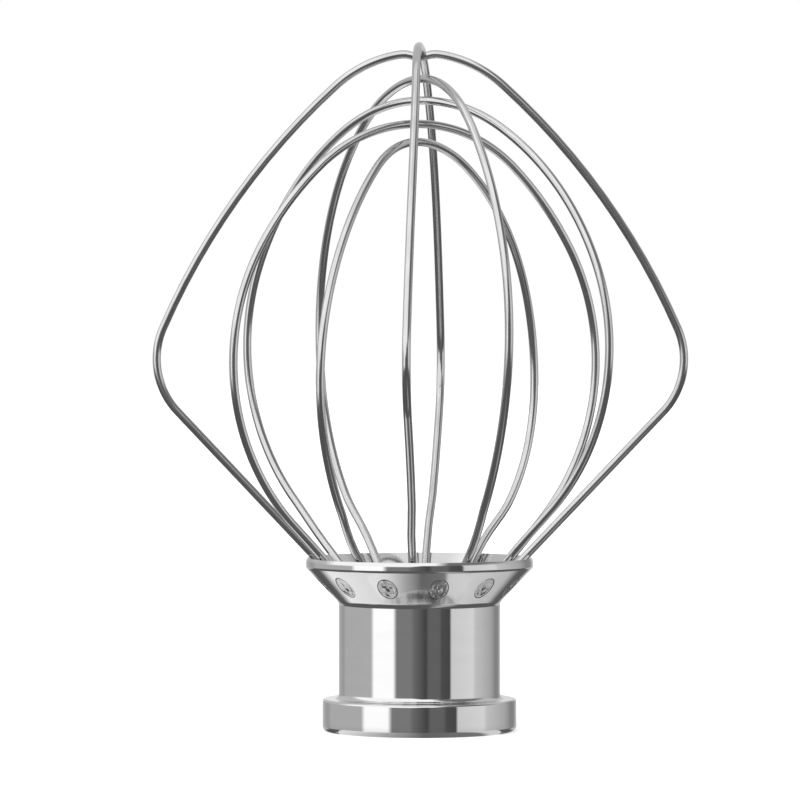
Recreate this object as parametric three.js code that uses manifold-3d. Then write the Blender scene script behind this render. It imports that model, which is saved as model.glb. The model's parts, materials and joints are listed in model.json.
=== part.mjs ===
// Wire whip for a stand mixer: a flared hub that stands on its flange and holds six wire loops.
// Millimetres, +Z up. The origin is the centre of the flange's flat underside.

import * as THREE from "three";
import { mergeVertices } from "three/addons/utils/BufferGeometryUtils.js";
import Module from "manifold-3d";

// ---- driving dimensions -------------------------------------------------------------------------

const CLEARANCE = 0.3;           // gap between pieces that touch

// Hub shell: flange, neck and flared cup in one turned piece.
const NECK_RADIUS = 19.4;
const FLANGE_STEP = 3.9;         // how far the flange stands out from the neck
const FLANGE_HEIGHT = 7.8;
const NECK_WALL = 3.2;
const FLARE_BASE = 30.9;         // height at which the neck turns into the cup
const FLARE_ANGLE = 43.5;        // degrees from vertical, of the cup and of the wires' legs
const CUP_WALL = 1.9;
const RIM_STEP = 7.9;            // how far the rim stands out from the neck
const RIM_LAND = 2.3;            // height of the rim's upright edge, above the flare

// Wire loops.
const WIRE_RADIUS = 1.0;
const WIRE_SIDES = 8;
const WIRE_BEND_STEP = 9;        // degrees of bend from one station of the wire to the next
const LEG_STEP = 9;              // the same along a straight leg
const SWAY_START = 0.12;         // share of the height above the rim in which the sway sets in

// Each loop's plane is turned about Z. Its half outline is a straight leg and three arcs that run
// into each other: the shoulder, the side, and the crown on the axis. Spread is how far the loop
// stands out from the neck, and rise how far it stands up from the flare. Sway is how far the
// hand-set wire bows out of its plane between the rim and the crown.
const CROSSING = 2 * WIRE_RADIUS + CLEARANCE;    // from one wire's axis to the next where they cross
const OUTER_RISE = 130.8;
const TOP_RISE = OUTER_RISE + CROSSING;
const LOOPS = [
  { id: "outer_top", turn: 90, rise: TOP_RISE, spread: 43.9, shoulder: 18.2, side: 170, crown: 28, sway: -1.2 },
  { id: "outer", turn: 0, rise: OUTER_RISE, spread: 43.9, shoulder: 18.2, side: 170, crown: 30, sway: 0 },
  { id: "second", turn: 120, rise: 125.3, spread: 30.8, shoulder: 60, side: 66, crown: 44, sway: 2.3 },
  { id: "third", turn: 150, rise: 120.1, spread: 32.8, shoulder: 55, side: 68, crown: 41, sway: -2 },
  { id: "fourth", turn: 30, rise: 114.5, spread: 29, shoulder: 56, side: 79, crown: 38, sway: 1 },
  { id: "inner", turn: 60, rise: 110.2, spread: 26.8, shoulder: 50, side: 63, crown: 34, sway: -3.2 },
];

// Clamp ring and its pins.
const CLAMP_THICKNESS = 3.3;
const CLAMP_DROP = 3.1;          // how far the clamp ring's top lies below the rim
const PIN_RADIUS = 1.6;
const PIN_GRIP = 1.4;            // how far a pin reaches into the clamp ring
const PIN_HEAD_WIDTH = 4.8;      // round the cup
const PIN_HEAD_LENGTH = 6.6;     // up the flare
const PIN_FLOOR = 0.6;           // metal of the cup under a pin's head
const PIN_CHAMFER = 0.3;
const PIN_PIT_RADIUS = 0.7;
const PIN_PIT_DEPTH = 0.5;

// Cap plate, drive socket and base ring, inside the neck.
const CAP_THICKNESS = 2.0;
const CAP_LEDGE = 1.3;           // width of the step in the neck's bore that carries the cap plate
const SOCKET_BORE_RADIUS = 6.5;
const SOCKET_WALL = 3.0;
const SOCKET_INSET = 0.6;        // how far the socket and the base ring stand back from the underside
const SLOT_WIDTH = 5.0;
const SLOT_DEPTH = 15.0;
const SLOT_TURN = 50;            // degrees
const BASE_RING_THICKNESS = 3.4;

// Edge radii.
const FLANGE_TOP_EDGE = 0.7;
const FLANGE_BOTTOM_EDGE = 1.3;
const NECK_COVE = 1.4;
const FLARE_FILLET = 1.0;
const RIM_EDGE = 0.45;
const SMALL_EDGE = 0.4;

const TURNED_SIDES = 60;
const PIN_SIDES = 12;
const EDGE_STEP = 45;            // degrees of arc from one point of a rounded edge to the next

// ---- sizes that follow --------------------------------------------------------------------------

const flare = THREE.MathUtils.degToRad(FLARE_ANGLE);
const wireEnds = 2 * LOOPS.length;
const flangeRadius = NECK_RADIUS + FLANGE_STEP;
const rimRadius = NECK_RADIUS + RIM_STEP;
const neckBore = NECK_RADIUS - NECK_WALL;
const capSeat = neckBore + CAP_LEDGE;
const socketRadius = SOCKET_BORE_RADIUS + SOCKET_WALL;
const wireDepth = CUP_WALL + CLEARANCE + WIRE_RADIUS;
const clampFace = CUP_WALL + CLEARANCE;

// Radius of the cone that lies a given depth inside the cup's outer face, at height z.
const coneRadius = (depth, z) => NECK_RADIUS + (z - FLARE_BASE) * Math.tan(flare) - depth / Math.cos(flare);
// Height at which that cone has a given radius.
const coneHeight = (depth, r) => FLARE_BASE + (r - NECK_RADIUS + depth / Math.cos(flare)) / Math.tan(flare);

const capBottom = FLARE_BASE;
const capTop = capBottom + CAP_THICKNESS;
const ledgeHeight = capBottom - CLEARANCE;
const clampBottom = capTop + CLEARANCE;
const legFoot = clampBottom + WIRE_RADIUS;
const flareTop = coneHeight(0, rimRadius);
const rimHeight = flareTop + RIM_LAND;
const clampTop = rimHeight - CLAMP_DROP;
const pinHeight = (FLARE_BASE + flareTop) / 2;

// ---- geometry helpers ---------------------------------------------------------------------------

const wasm = await Module();
wasm.setup();

/** Corners [r, z, radius] become the points of an outline; a corner with a radius is rounded. */
function outline(corners) {
  const points = [];
  corners.forEach(([r, z, radius = 0], i) => {
    const corner = new THREE.Vector2(r, z);
    if (radius === 0) {
      points.push(corner);
      return;
    }
    const [pr, pz] = corners.at(i - 1);
    const [nr, nz] = corners[(i + 1) % corners.length];
    const back = new THREE.Vector2(pr, pz).sub(corner).normalize();
    const ahead = new THREE.Vector2(nr, nz).sub(corner).normalize();
    const half = Math.acos(THREE.MathUtils.clamp(back.dot(ahead), -1, 1)) / 2;
    const centre = back.clone().add(ahead).normalize().multiplyScalar(radius / Math.sin(half)).add(corner);
    const start = back.clone().multiplyScalar(radius / Math.tan(half)).add(corner).sub(centre);
    const sweep = (Math.PI - 2 * half) * Math.sign(ahead.cross(back));
    const steps = Math.max(2, Math.round(Math.abs(sweep) / THREE.MathUtils.degToRad(EDGE_STEP)));
    for (let k = 0; k <= steps; k += 1) {
      points.push(start.clone().rotateAround(new THREE.Vector2(), (sweep * k) / steps).add(centre));
    }
  });
  return points;
}

/** Solid of revolution about Z. The corners run up the outside and down the inside. */
function turned(corners, sides = TURNED_SIDES) {
  const points = outline(corners);
  if (corners[0][0] > 0) points.push(points[0].clone());
  return new THREE.LatheGeometry(points, sides).rotateX(Math.PI / 2);
}

function toSolid(geometry) {
  const bare = geometry.clone();
  bare.deleteAttribute("normal");
  bare.deleteAttribute("uv");
  const merged = mergeVertices(bare, 1e-4);
  const vertProperties = new Float32Array(merged.attributes.position.array);
  const triVerts = new Uint32Array(merged.index.array);
  return new wasm.Manifold(new wasm.Mesh({ numProp: 3, vertProperties, triVerts }));
}

function toGeometry(solid) {
  const mesh = solid.getMesh();
  const geometry = new THREE.BufferGeometry();
  geometry.setAttribute("position", new THREE.BufferAttribute(mesh.vertProperties, 3));
  geometry.setIndex(new THREE.BufferAttribute(mesh.triVerts, 1));
  return geometry;
}

/** The body with every cutter taken away. */
function cut(body, cutters) {
  return toGeometry(cutters.reduce((solid, cutter) => solid.subtract(toSolid(cutter)), toSolid(body)));
}

/** A cylinder from one point to another. */
function rod(from, to, radius, sides) {
  const along = to.clone().sub(from);
  const up = new THREE.Vector3(0, 1, 0);
  return new THREE.CylinderGeometry(radius, radius, along.length(), sides)
    .applyQuaternion(new THREE.Quaternion().setFromUnitVectors(up, along.normalize()))
    .translate(...from.clone().add(to).multiplyScalar(0.5).toArray());
}

/** The same geometry at each of a number of even turns about Z. */
function ringOf(count, firstTurn, geometry) {
  const step = 360 / count;
  return Array.from({ length: count }, (_, i) =>
    geometry.clone().rotateZ(THREE.MathUtils.degToRad(firstTurn + i * step)));
}

const polished = new THREE.MeshStandardMaterial({ color: 0xc8c8c8, roughness: 0.1, metalness: 1 });
const drawn = new THREE.MeshStandardMaterial({ color: 0xc0c0c0, roughness: 0.2, metalness: 1 });
const machined = new THREE.MeshStandardMaterial({ color: 0xa8a8a8, roughness: 0.35, metalness: 1 });

const whip = new THREE.Group();

function addPiece(name, geometry, material) {
  const mesh = new THREE.Mesh(geometry, material);
  mesh.name = name;
  whip.add(mesh);
  return mesh;
}

// ---- clamp pins ---------------------------------------------------------------------------------

// A pin stands square to the cup, half way up the flare: a round shank under a flush oval head. Along
// its axis, 0 is the cup's outer face.
const pinInward = new THREE.Vector3(-Math.cos(flare), 0, Math.sin(flare));
const pinFace = new THREE.Vector3(coneRadius(0, pinHeight), 0, pinHeight);
const pinSag = (PIN_HEAD_WIDTH / 2) ** 2 / (2 * coneRadius(0, pinHeight)) * Math.cos(flare);
const pinHeadEnd = CUP_WALL - PIN_FLOOR - CLEARANCE;
const pinEnd = clampFace + PIN_GRIP;
const pinTurn = 180 / wireEnds;

/** Stands a piece made about +Y on the pin's axis. Its width and length across the axis are stretched. */
function onPinAxis(geometry, width = 1, length = 1) {
  const up = new THREE.Vector3(0, 1, 0);
  return geometry.scale(length, 1, width)
    .rotateY(flare - Math.PI / 2)
    .applyQuaternion(new THREE.Quaternion().setFromUnitVectors(up, pinInward))
    .translate(...pinFace.toArray());
}

/** A round or oval plug from outside the cup to a depth, with clearance all round. */
function pinHole(width, length, depth) {
  const above = 1;
  const plug = new THREE.CylinderGeometry(1, 1, depth + CLEARANCE + above, PIN_SIDES)
    .translate(0, (depth + CLEARANCE - above) / 2, 0);
  return onPinAxis(plug, width / 2 + CLEARANCE, length / 2 + CLEARANCE);
}

const shankHole = pinHole(2 * PIN_RADIUS, 2 * PIN_RADIUS, pinEnd);
const headPocket = pinHole(PIN_HEAD_WIDTH, PIN_HEAD_LENGTH, pinHeadEnd);

function pinGeometry() {
  const rim = 1 - (2 * PIN_CHAMFER) / PIN_HEAD_WIDTH;
  const head = new THREE.LatheGeometry([
    new THREE.Vector2(0, pinSag + PIN_PIT_DEPTH),
    new THREE.Vector2((2 * PIN_PIT_RADIUS) / PIN_HEAD_WIDTH, pinSag),
    new THREE.Vector2(rim, pinSag),
    new THREE.Vector2(1, pinSag + PIN_CHAMFER),
    new THREE.Vector2(1, pinHeadEnd),
    new THREE.Vector2(0, pinHeadEnd),
  ], PIN_SIDES);
  const overlap = PIN_CHAMFER / 2;
  const shank = new THREE.CylinderGeometry(PIN_RADIUS, PIN_RADIUS, pinEnd - pinHeadEnd + overlap, PIN_SIDES)
    .translate(0, (pinEnd + pinHeadEnd - overlap) / 2, 0);
  const ovalHead = onPinAxis(head, PIN_HEAD_WIDTH / 2, PIN_HEAD_LENGTH / 2);
  return toGeometry(toSolid(ovalHead).add(toSolid(onPinAxis(shank))));
}

// ---- hub shell ----------------------------------------------------------------------------------

function hubShell() {
  const body = turned([
    [neckBore, 0, SMALL_EDGE],
    [flangeRadius, 0, FLANGE_BOTTOM_EDGE],
    [flangeRadius, FLANGE_HEIGHT, FLANGE_TOP_EDGE],
    [NECK_RADIUS, FLANGE_HEIGHT, NECK_COVE],
    [NECK_RADIUS, FLARE_BASE, FLARE_FILLET],
    [rimRadius, flareTop, SMALL_EDGE],
    [rimRadius, rimHeight, RIM_EDGE],
    [coneRadius(CUP_WALL, rimHeight), rimHeight],
    [capSeat, coneHeight(CUP_WALL, capSeat)],
    [capSeat, ledgeHeight],
    [neckBore, ledgeHeight],
  ]);
  return cut(body, [...ringOf(wireEnds, pinTurn, shankHole), ...ringOf(wireEnds, pinTurn, headPocket)]);
}

// ---- clamp ring ---------------------------------------------------------------------------------

const legPoint = (z) => new THREE.Vector3(coneRadius(wireDepth, z), 0, z);

function clampRing() {
  const inner = clampFace + CLAMP_THICKNESS;
  const body = turned([
    [coneRadius(inner, clampBottom), clampBottom],
    [coneRadius(clampFace, clampBottom), clampBottom],
    [coneRadius(clampFace, clampTop), clampTop],
    [coneRadius(inner, clampTop), clampTop, SMALL_EDGE],
  ]);
  const overrun = 2 * WIRE_RADIUS;
  const groove = rod(legPoint(clampBottom - overrun), legPoint(clampTop + overrun),
    WIRE_RADIUS + CLEARANCE, 2 * WIRE_SIDES);
  return cut(body, [...ringOf(wireEnds, 0, groove), ...ringOf(wireEnds, pinTurn, shankHole)]);
}

// ---- cap plate, drive socket and base ring ------------------------------------------------------

function capPlate() {
  const radius = capSeat - CLEARANCE;
  return turned([
    [0, capBottom],
    [radius, capBottom],
    [radius, capTop, SMALL_EDGE],
    [0, capTop],
  ]);
}

function driveSocket() {
  const top = capBottom - CLEARANCE;
  const body = turned([
    [SOCKET_BORE_RADIUS, SOCKET_INSET, SMALL_EDGE],
    [socketRadius, SOCKET_INSET, SMALL_EDGE],
    [socketRadius, top],
    [SOCKET_BORE_RADIUS, top],
  ]);
  const entry = new THREE.BoxGeometry(2 * socketRadius, SLOT_WIDTH, 2 * SLOT_DEPTH)
    .translate(socketRadius, 0, 0);
  const turn = THREE.MathUtils.degToRad(SLOT_TURN);
  const sector = new THREE.Shape();
  sector.moveTo(0, 0);
  sector.lineTo(2 * socketRadius, 0);
  sector.absarc(0, 0, 2 * socketRadius, 0, turn, false);
  sector.closePath();
  const rest = new THREE.ExtrudeGeometry(sector, { depth: SLOT_WIDTH, bevelEnabled: false, curveSegments: 4 })
    .translate(0, 0, SLOT_DEPTH - SLOT_WIDTH);
  return cut(body, [entry, rest]);
}

function baseRing() {
  const top = SOCKET_INSET + BASE_RING_THICKNESS;
  return turned([
    [socketRadius + CLEARANCE, SOCKET_INSET],
    [neckBore - CLEARANCE, SOCKET_INSET],
    [neckBore - CLEARANCE, top],
    [socketRadius + CLEARANCE, top],
  ]);
}

// ---- wire loops ---------------------------------------------------------------------------------

/** The three arcs of half a loop, each as its centre, its radius and its first and last angle. */
function loopArcs({ rise, spread, shoulder, side, crown }) {
  const foot = legPoint(legFoot);
  // The shoulder's circle touches the leg and the upright line at the loop's greatest radius.
  const shoulderR = NECK_RADIUS + spread - shoulder;
  const shoulderZ = foot.z + (shoulder + (shoulderR - foot.x) * Math.cos(flare)) / Math.sin(flare);
  const shoulderCentre = new THREE.Vector2(shoulderR, shoulderZ);
  const crownCentre = new THREE.Vector2(0, FLARE_BASE + rise - crown);
  // The side's circle holds both others and touches them.
  const span = crownCentre.clone().sub(shoulderCentre);
  const toShoulder = side - shoulder;
  const toCrown = side - crown;
  const along = (span.lengthSq() + toShoulder ** 2 - toCrown ** 2) / (2 * span.length());
  const across = Math.sqrt(Math.max(0, toShoulder ** 2 - along ** 2));
  const unit = span.clone().normalize();
  const sideCentre = shoulderCentre.clone().addScaledVector(unit, along)
    .add(new THREE.Vector2(-unit.y, unit.x).multiplyScalar(across));
  const angleFromSide = (centre) => {
    const { x, y } = centre.clone().sub(sideCentre);
    return Math.atan2(y, x);
  };
  const firstJoin = angleFromSide(shoulderCentre);
  const secondJoin = angleFromSide(crownCentre);
  return [
    [shoulderCentre, shoulder, -flare, firstJoin],
    [sideCentre, side, firstJoin, secondJoin],
    [crownCentre, crown, secondJoin, Math.PI / 2],
  ];
}

/** Half a loop in its plane, from the foot of its leg to the axis: points and headings. */
function halfLoop(loop) {
  const foot = legPoint(legFoot);
  const arcs = loopArcs(loop);
  const [shoulderCentre, shoulder] = arcs[0];
  const legEnd = shoulderCentre.y - shoulder * Math.sin(flare);
  const legSteps = Math.ceil((legEnd - foot.z) / Math.cos(flare) / LEG_STEP);
  const stations = [];
  for (let k = 0; k < legSteps; k += 1) {
    const { x, z } = legPoint(foot.z + ((legEnd - foot.z) * k) / legSteps);
    stations.push({ r: x, z, heading: Math.PI / 2 - flare });
  }
  for (const [centre, radius, from, to] of arcs) {
    const steps = Math.max(1, Math.ceil((to - from) / THREE.MathUtils.degToRad(WIRE_BEND_STEP)));
    for (let k = 0; k < steps; k += 1) {
      const angle = from + ((to - from) * k) / steps;
      stations.push({
        r: centre.x + radius * Math.cos(angle),
        z: centre.y + radius * Math.sin(angle),
        heading: angle + Math.PI / 2,
      });
    }
  }
  stations.push({ r: 0, z: FLARE_BASE + loop.rise, heading: Math.PI });
  return stations;
}

/** The whole loop as a curve about the XZ plane, with one station for each step of the sweep. */
class LoopCurve extends THREE.Curve {
  constructor(loop) {
    super();
    const half = halfLoop(loop);
    const mirrored = half.slice(0, -1).reverse()
      .map(({ r, z, heading }) => ({ r: -r, z, heading: -heading }));
    this.stations = [...half, ...mirrored];
    this.loop = loop;
  }

  get steps() {
    return this.stations.length - 1;
  }

  sway(z) {
    const apex = FLARE_BASE + this.loop.rise;
    const share = THREE.MathUtils.clamp((z - rimHeight) / (apex - rimHeight), 0, 1);
    return this.loop.sway * (1 - (2 * share - 1) ** 4) * THREE.MathUtils.smoothstep(share, 0, SWAY_START);
  }

  getPointAt(u, target = new THREE.Vector3()) {
    const { r, z } = this.stations[Math.round(u * this.steps)];
    return target.set(r, this.sway(z), z);
  }

  getTangentAt(u, target = new THREE.Vector3()) {
    const { z, heading } = this.stations[Math.round(u * this.steps)];
    const reach = 0.5;
    const slope = (this.sway(z + reach) - this.sway(z - reach)) / (2 * reach);
    return target.set(Math.cos(heading), slope * Math.sin(heading), Math.sin(heading)).normalize();
  }
}

function wireLoop(loop) {
  const curve = new LoopCurve(loop);
  const section = new THREE.Shape();
  for (let i = 0; i < WIRE_SIDES; i += 1) {
    const angle = (i * 2 * Math.PI) / WIRE_SIDES;
    const point = [WIRE_RADIUS * Math.cos(angle), WIRE_RADIUS * Math.sin(angle)];
    if (i === 0) section.moveTo(...point);
    else section.lineTo(...point);
  }
  section.closePath();
  return new THREE.ExtrudeGeometry(section, { steps: curve.steps, extrudePath: curve, bevelEnabled: false })
    .rotateZ(THREE.MathUtils.degToRad(loop.turn));
}

// ---- assembly -----------------------------------------------------------------------------------

addPiece("hub_shell", hubShell(), polished);
addPiece("clamp_ring", clampRing(), machined);
addPiece("cap_plate", capPlate(), machined);
addPiece("drive_socket", driveSocket(), machined);
addPiece("base_ring", baseRing(), machined);

for (const loop of LOOPS) addPiece(`wire_loop_${loop.id}`, wireLoop(loop), drawn);

ringOf(wireEnds, pinTurn, pinGeometry()).forEach((pin, i) => {
  addPiece(`clamp_pin_${String(i + 1).padStart(2, "0")}`, pin, polished);
});

export default whip;
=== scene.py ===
"""Wire whip of a stand mixer, dressed for its studio picture.

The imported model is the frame. Every piece here stands for one of its nodes, in metres, with +Z up and
the origin at the centre of the hub's flat underside.
"""

import json
import logging
import math
import random
from dataclasses import dataclass
from enum import Enum
from typing import Sequence

import bmesh
import bpy
from mathutils import Matrix, Vector, noise

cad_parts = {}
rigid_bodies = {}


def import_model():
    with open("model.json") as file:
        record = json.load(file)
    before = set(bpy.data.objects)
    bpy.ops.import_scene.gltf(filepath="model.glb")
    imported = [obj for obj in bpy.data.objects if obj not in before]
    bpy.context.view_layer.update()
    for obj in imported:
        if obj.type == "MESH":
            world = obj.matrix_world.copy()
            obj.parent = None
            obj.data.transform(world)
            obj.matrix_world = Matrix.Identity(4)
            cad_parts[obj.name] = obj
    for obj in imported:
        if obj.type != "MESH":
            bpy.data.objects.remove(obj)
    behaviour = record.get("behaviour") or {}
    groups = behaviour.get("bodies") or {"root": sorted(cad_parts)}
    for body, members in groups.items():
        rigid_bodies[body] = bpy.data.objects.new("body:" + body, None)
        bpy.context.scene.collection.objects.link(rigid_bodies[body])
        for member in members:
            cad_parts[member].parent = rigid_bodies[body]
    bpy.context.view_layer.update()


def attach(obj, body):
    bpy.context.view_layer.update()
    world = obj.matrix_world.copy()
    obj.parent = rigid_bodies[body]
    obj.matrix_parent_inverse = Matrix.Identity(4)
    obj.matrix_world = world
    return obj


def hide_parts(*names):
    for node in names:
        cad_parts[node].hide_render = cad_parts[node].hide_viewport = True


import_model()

log = logging.getLogger("whip")

MM = 0.001
BODY = "root"
WIRE_FRAME = "wire_frame"        # a point's place in the wire: out of the bend, sideways, along
WELD = 0.0005 * MM               # points nearer than this become one
HAIR = 0.01                      # the share by which a test clears the face that it looks for
SHARP = math.radians(28)         # a steeper edge stays sharp in the shading
ROUND_STEP = 9                   # degrees of a rounded corner to a facet
ROUND_LEAST = 4                  # facets of a slight one


class Slot(Enum):
    """The record's material slots."""

    POLISHED = "polished_steel"
    WIRE = "drawn_wire"
    MACHINED = "machined_steel"
    PIN = "pin_steel"


# ---- finishes -------------------------------------------------------------------------------------


class NodeSheet:
    """A node tree, with short calls for adding and joining nodes."""

    def __init__(self, owner: bpy.types.Material | bpy.types.World) -> None:
        """Empty the owner's node tree.

        Args:
            owner: The material or the world that the nodes are for.
        """
        owner.use_nodes = True
        self.tree = owner.node_tree
        self.tree.nodes.clear()

    def add(self, kind: str, **settings: object) -> bpy.types.Node:
        """Add a node.

        Args:
            kind: The node's type.
            **settings: Properties of the node.

        Returns:
            The new node.
        """
        node = self.tree.nodes.new(kind)
        for key, value in settings.items():
            setattr(node, key, value)
        return node

    def join(self, source: bpy.types.NodeSocket, target: bpy.types.NodeSocket) -> None:
        """Link one socket to another."""
        self.tree.links.new(source, target)

    def maths(self, operation: str, *values: bpy.types.NodeSocket | float,
              clamp: bool = False) -> bpy.types.NodeSocket:
        """Work something out.

        Args:
            operation: What is worked out.
            *values: The numbers or sockets that it takes.
            clamp: Whether the result is held between 0 and 1.

        Returns:
            The result's socket.
        """
        node = self.add("ShaderNodeMath", operation=operation, use_clamp=clamp)
        for socket, value in zip(node.inputs, values):
            if isinstance(value, (int, float)):
                socket.default_value = value
            else:
                self.join(value, socket)
        return node.outputs["Value"]


class ShaderSheet(NodeSheet):
    """The node tree of one metal finish."""

    def __init__(self, name: str) -> None:
        """Start a bare metal.

        Args:
            name: The material's name.
        """
        self.material = bpy.data.materials.new(name)
        super().__init__(self.material)
        self.surface = self.add("ShaderNodeBsdfPrincipled")
        self.surface.inputs["Metallic"].default_value = 1.0
        output = self.add("ShaderNodeOutputMaterial")
        self.join(self.surface.outputs["BSDF"], output.inputs["Surface"])

    def object_point(self) -> bpy.types.NodeSocket:
        """Return the socket that gives the point in the piece's own space, in metres."""
        return self.add("ShaderNodeTexCoord").outputs["Object"]

    def scaled(self, vector: bpy.types.NodeSocket, scale: Sequence[float]) -> bpy.types.NodeSocket:
        """Multiply a vector by three factors.

        Args:
            vector: The vector's socket.
            scale: One factor for each axis.

        Returns:
            The product's socket.
        """
        node = self.add("ShaderNodeVectorMath", operation="MULTIPLY")
        self.join(vector, node.inputs[0])
        node.inputs[1].default_value = tuple(scale)
        return node.outputs["Vector"]

    def height(self) -> bpy.types.NodeSocket:
        """Read the height above the hub's underside.

        Returns:
            The socket that gives it, in metres.
        """
        split = self.add("ShaderNodeSeparateXYZ")
        self.join(self.object_point(), split.inputs["Vector"])
        return split.outputs["Z"]

    def turned_point(self) -> bpy.types.NodeSocket:
        """Read a place that is the same all round a turned piece.

        Returns:
            The socket of a vector that holds the distance from the Z axis and the height.
        """
        split = self.add("ShaderNodeSeparateXYZ")
        self.join(self.object_point(), split.inputs["Vector"])
        flat = self.add("ShaderNodeCombineXYZ")
        self.join(split.outputs["X"], flat.inputs["X"])
        self.join(split.outputs["Y"], flat.inputs["Y"])
        reach = self.add("ShaderNodeVectorMath", operation="LENGTH")
        self.join(flat.outputs["Vector"], reach.inputs[0])
        both = self.add("ShaderNodeCombineXYZ")
        self.join(reach.outputs["Value"], both.inputs["X"])
        self.join(split.outputs["Z"], both.inputs["Z"])
        return both.outputs["Vector"]

    def grain(self, vector: bpy.types.NodeSocket, scale: float, detail: float = 2.0) -> bpy.types.NodeSocket:
        """Add a noise.

        Args:
            vector: Where it is read.
            scale: Cells to a unit of the vector.
            detail: How many finer layers it has.

        Returns:
            The socket of its value, from 0 to 1.
        """
        node = self.add("ShaderNodeTexNoise")
        self.join(vector, node.inputs["Vector"])
        node.inputs["Scale"].default_value = scale
        node.inputs["Detail"].default_value = detail
        return node.outputs["Fac"]

    def ranged(self, value: bpy.types.NodeSocket, low: float, high: float,
               start: float = 0.3, end: float = 0.7) -> bpy.types.NodeSocket:
        """Map a noise's usual span to a range.

        Args:
            value: The noise's socket.
            low: Result at start and below.
            high: Result at end and above.
            start: Value that gives low.
            end: Value that gives high.

        Returns:
            The mapped value's socket.
        """
        node = self.add("ShaderNodeMapRange", clamp=True)
        self.join(value, node.inputs["Value"])
        node.inputs["From Min"].default_value = start
        node.inputs["From Max"].default_value = end
        node.inputs["To Min"].default_value = low
        node.inputs["To Max"].default_value = high
        return node.outputs["Result"]

    def total(self, *values: bpy.types.NodeSocket) -> bpy.types.NodeSocket:
        """Add several values.

        Args:
            *values: Their sockets.

        Returns:
            The sum's socket.
        """
        result = values[0]
        for value in values[1:]:
            result = self.maths("ADD", result, value)
        return result

    def greys(self, value: bpy.types.NodeSocket, dark: float, light: float) -> None:
        """Set the base colour to a neutral grey that follows a value.

        Args:
            value: The value's socket, from 0 to 1.
            dark: Grey at 0.
            light: Grey at 1.
        """
        node = self.add("ShaderNodeMix", data_type="RGBA")
        self.join(value, node.inputs[0])
        node.inputs[6].default_value = (dark, dark, dark, 1.0)
        node.inputs[7].default_value = (light, light, light, 1.0)
        self.join(node.outputs[2], self.surface.inputs["Base Color"])

    def relief(self, layers: Sequence[tuple[bpy.types.NodeSocket, float]]) -> None:
        """Stack bumps on the surface.

        Args:
            layers: A height's socket, from 0 to 1, and its full height in metres, for each bump.
        """
        below = None
        for height, depth in layers:
            node = self.add("ShaderNodeBump")
            node.inputs["Strength"].default_value = 1.0
            node.inputs["Distance"].default_value = depth
            self.join(height, node.inputs["Height"])
            if below is not None:
                self.join(below, node.inputs["Normal"])
            below = node.outputs["Normal"]
        self.join(below, self.surface.inputs["Normal"])


@dataclass(frozen=True)
class PolishedSteel:
    """Mirror-polished turned steel with faint polishing rings, wipe marks and small scratches."""

    name: str = "polished stainless steel"
    dark: float = 0.68
    light: float = 0.71
    roughness: float = 0.04
    wiped: float = 0.03
    flare_from: float = 31.4 * MM
    flare_to: float = 38.8 * MM
    flare_roughness: float = 0.055
    flare_fade: float = 0.6 * MM
    ring_scale: float = 9000.0
    ring_height: float = 0.0001 * MM
    wave_scale: float = 170.0
    wave_height: float = 0.0008 * MM
    wipe_scale: tuple[float, float, float] = (140.0, 140.0, 420.0)
    scratch_scale: float = 2600.0

    def build(self) -> bpy.types.Material:
        """Mix the finish. The flared cup is a little less bright than the rest.

        Returns:
            The material.
        """
        sheet = ShaderSheet(self.name)
        point = sheet.object_point()
        rings = sheet.grain(sheet.turned_point(), self.ring_scale, 4.0)
        wipes = sheet.grain(sheet.scaled(point, self.wipe_scale), 1.0, 5.0)
        scratches = sheet.grain(point, self.scratch_scale, 3.0)
        waves = sheet.grain(point, self.wave_scale, 1.0)
        sheet.greys(sheet.ranged(wipes, 0.0, 1.0), self.dark, self.light)
        wiped = sheet.ranged(wipes, 0.0, self.wiped, 0.45, 0.8)
        scratched = sheet.ranged(scratches, self.roughness, self.roughness + self.wiped, 0.62, 0.8)
        height = sheet.height()
        above = sheet.ranged(height, 0.0, self.flare_roughness,
                             self.flare_from - self.flare_fade, self.flare_from)
        beyond = sheet.ranged(height, 0.0, -self.flare_roughness,
                              self.flare_to, self.flare_to + self.flare_fade)
        sheet.join(sheet.total(wiped, scratched, above, beyond), sheet.surface.inputs["Roughness"])
        sheet.relief([(waves, self.wave_height), (rings, self.ring_height)])
        return sheet.material


@dataclass(frozen=True)
class DrawnWire:
    """Bright drawn wire with fine lines along it from the die."""

    name: str = "drawn stainless wire"
    dark: float = 0.56
    light: float = 0.66
    roughness: float = 0.09
    lined: float = 0.12
    line_scale: tuple[float, float, float] = (5200.0, 5200.0, 60.0)
    line_height: float = 0.0005 * MM
    patch_scale: tuple[float, float, float] = (900.0, 900.0, 160.0)

    def build(self) -> bpy.types.Material:
        """Mix the finish. It follows the wire by the attribute that each loop carries.

        Returns:
            The material.
        """
        sheet = ShaderSheet(self.name)
        place = sheet.add("ShaderNodeAttribute", attribute_name=WIRE_FRAME).outputs["Vector"]
        lines = sheet.grain(sheet.scaled(place, self.line_scale), 1.0, 3.0)
        patches = sheet.grain(sheet.scaled(place, self.patch_scale), 1.0, 4.0)
        sheet.greys(sheet.ranged(patches, 0.0, 1.0), self.dark, self.light)
        lined = sheet.ranged(lines, self.roughness, self.roughness + self.lined, 0.4, 0.75)
        sheet.join(lined, sheet.surface.inputs["Roughness"])
        sheet.relief([(lines, self.line_height)])
        return sheet.material


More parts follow.
